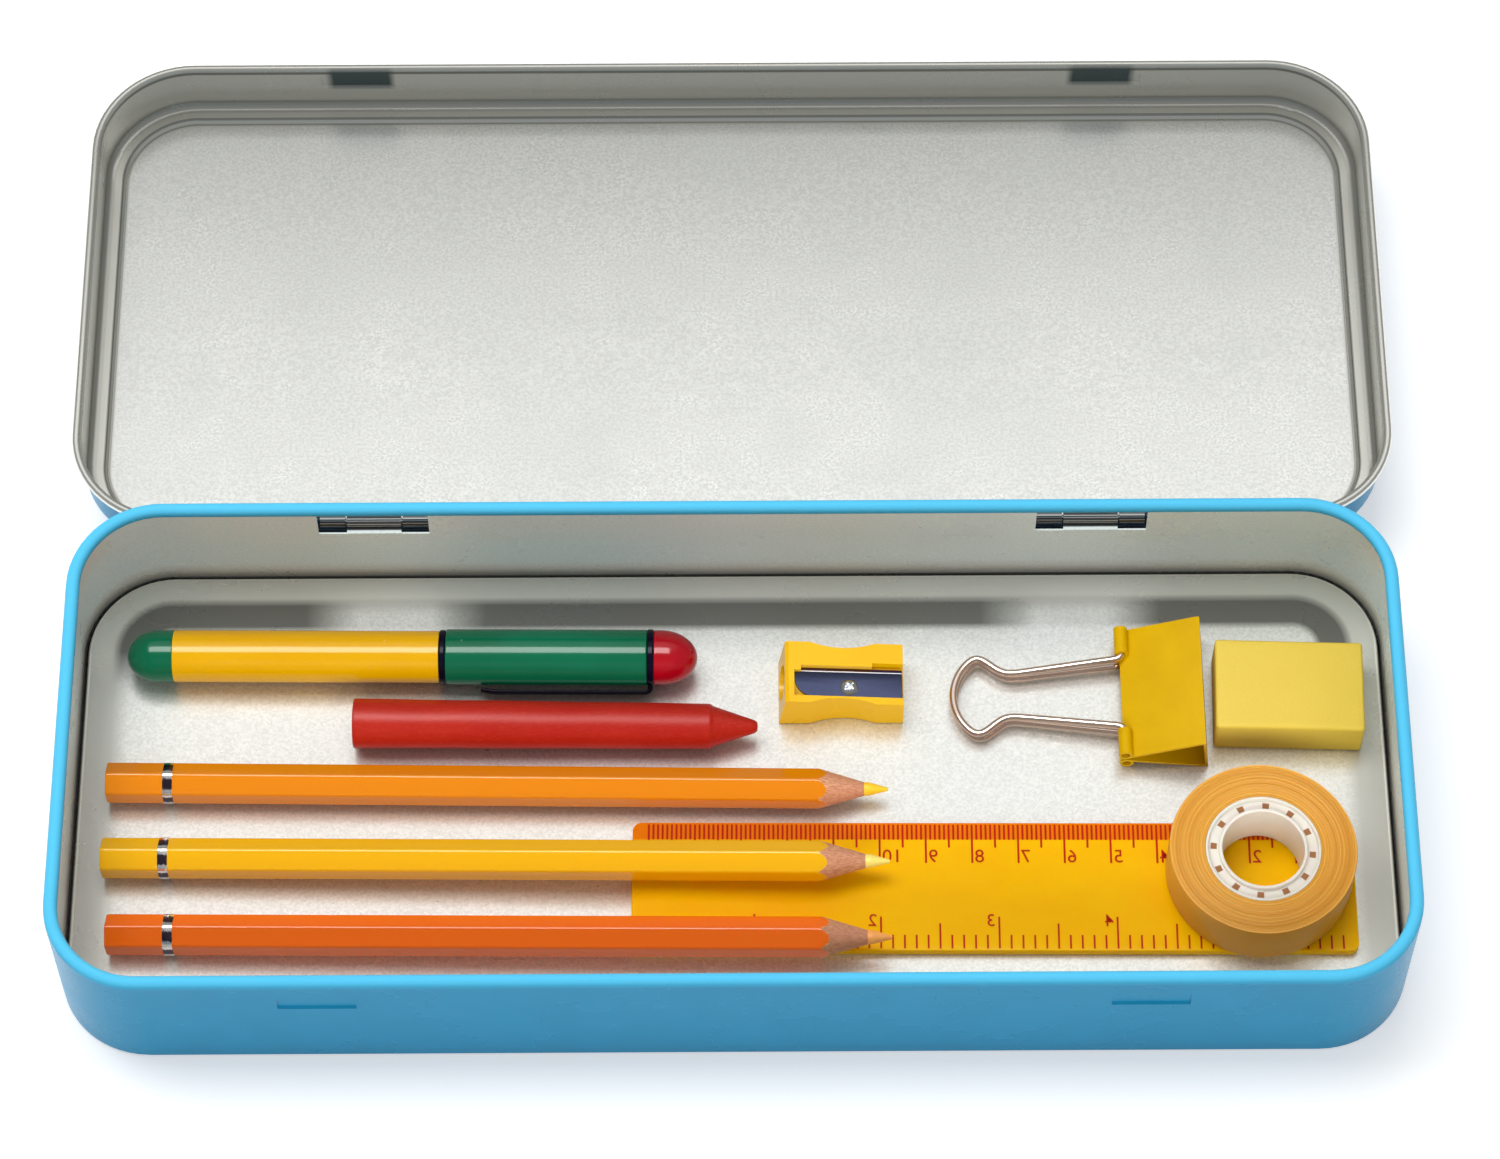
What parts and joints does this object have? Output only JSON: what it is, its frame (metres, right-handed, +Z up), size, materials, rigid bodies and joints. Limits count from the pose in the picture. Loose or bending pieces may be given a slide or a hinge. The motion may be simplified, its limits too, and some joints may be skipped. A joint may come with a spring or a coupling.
{
  "type": "pencil tin",
  "caption": "Shallow round-cornered hinged tin, open, holding colouring pencils, felt pen, crayon, sharpener, binder clip, eraser, tape roll and ruler.",
  "frame": {"origin": "on the plane of the foot, under the middle of the base", "axes": "+X along the length to the right, +Y towards the hinges and the open lid, +Z up"},
  "size_m": [0.2938, 0.2389, 0.0355],
  "materials": {
    "tin_paint": "glossy blue enamel outside, bare tinplate inside",
    "lid_paint": "glossy blue enamel outside, bare tinplate inside",
    "hinge_wire": "drawn wire",
    "pencil_orange_yellow": "glossy lacquer over wood",
    "pencil_yellow": "glossy lacquer over wood",
    "pencil_orange": "glossy lacquer over wood",
    "lead_yellow": "waxy",
    "lead_pale_yellow": "waxy",
    "lead_orange": "waxy",
    "foil": "foil",
    "pen_yellow": "glossy",
    "pen_green": "glossy",
    "pen_black": "glossy",
    "pen_red": "glossy",
    "pen_felt": "felt",
    "pen_wadding": "felt",
    "crayon_wax": "waxy",
    "sharpener_yellow": "glossy",
    "blade_steel": "ground",
    "screw_steel": "plated",
    "clip_ochre": "enamel",
    "clip_wire": "copper-toned nickel",
    "rubber": "matt",
    "tape_film": "clear film in layers",
    "tape_core_white": "moulded",
    "ruler_yellow": "translucent"
  },
  "bodies": {
    "tin_base": {"base_shell": "tin_paint", "hinge_pins": "hinge_wire"},
    "lid": {"lid_shell": "lid_paint"},
    "pencil_1": {"pencil_1_casing": "pencil_orange_yellow", "pencil_1_lead": "lead_yellow", "pencil_1_band": "foil"},
    "pencil_2": {"pencil_2_casing": "pencil_yellow", "pencil_2_lead": "lead_pale_yellow", "pencil_2_band": "foil"},
    "pencil_3": {"pencil_3_casing": "pencil_orange", "pencil_3_lead": "lead_orange", "pencil_3_band": "foil"},
    "pen": {"pen_barrel": "pen_yellow", "pen_end_plug": "pen_green", "pen_section": "pen_black", "pen_nib": "pen_felt", "pen_ink_reservoir": "pen_wadding", "pen_collar": "pen_black"},
    "pen_cap": {"pen_cap": "pen_green", "pen_cap_tip": "pen_red", "pen_clip": "pen_black"},
    "crayon": {"crayon": "crayon_wax"},
    "sharpener": {"sharpener_body": "sharpener_yellow", "sharpener_blade": "blade_steel", "sharpener_screw": "screw_steel"},
    "binder_clip": {"clip_spring": "clip_ochre"},
    "clip_upper_handle": {"clip_handle_upper": "clip_wire"},
    "clip_lower_handle": {"clip_handle_lower": "clip_wire"},
    "eraser": {"eraser": "rubber"},
    "ruler": {"ruler": "ruler_yellow"},
    "tape": {"tape_roll": "tape_film", "tape_core": "tape_core_white"}
  },
  "joints": [
    {"name": "lid_hinge", "type": "hinge", "parent": "tin_base", "child": "lid", "pos_m": [0, 0.0601, 0.0226], "axis": [-1, 0, 0], "range_deg": [-179.2, 0]},
    {"name": "pencil_1_lift", "type": "slide", "parent": "tin_base", "child": "pencil_1", "axis": [0, 0, 1], "range_m": [0, 0.07]},
    {"name": "pen_lift", "type": "slide", "parent": "tin_base", "child": "pen", "axis": [0, 0, 1], "range_m": [0, 0.07]},
    {"name": "crayon_lift", "type": "slide", "parent": "tin_base", "child": "crayon", "axis": [0, 0, 1], "range_m": [0, 0.06]},
    {"name": "sharpener_lift", "type": "slide", "parent": "tin_base", "child": "sharpener", "axis": [0, 0, 1], "range_m": [0, 0.06]},
    {"name": "binder_clip_lift", "type": "slide", "parent": "tin_base", "child": "binder_clip", "axis": [0, 0, 1], "range_m": [0, 0.07]},
    {"name": "eraser_lift", "type": "slide", "parent": "tin_base", "child": "eraser", "axis": [0, 0, 1], "range_m": [0, 0.06]},
    {"name": "ruler_lift", "type": "slide", "parent": "tin_base", "child": "ruler", "axis": [0, 0, 1], "range_m": [0, 0.05]},
    {"name": "pencil_2_lift", "type": "slide", "parent": "ruler", "child": "pencil_2", "axis": [0, 0, 1], "range_m": [0, 0.06]},
    {"name": "pencil_3_lift", "type": "slide", "parent": "ruler", "child": "pencil_3", "axis": [0, 0, 1], "range_m": [0, 0.06]},
    {"name": "tape_lift", "type": "slide", "parent": "ruler", "child": "tape", "axis": [0, 0, 1], "range_m": [0, 0.06]},
    {"name": "pen_cap_slide", "type": "slide", "parent": "pen", "child": "pen_cap", "axis": [1, -0.0096, 0], "range_m": [0, 0.016]},
    {"name": "clip_upper_handle_turn", "type": "hinge", "parent": "binder_clip", "child": "clip_upper_handle", "pos_m": [0.08557, 0.0239, 0.00862], "axis": [0, 1, 0], "range_deg": [0, 155]},
    {"name": "clip_lower_handle_turn", "type": "hinge", "parent": "binder_clip", "child": "clip_lower_handle", "pos_m": [0.086, 0.0239, 0.00506], "axis": [0, 1, 0], "range_deg": [0, 0.5]}
  ]
}
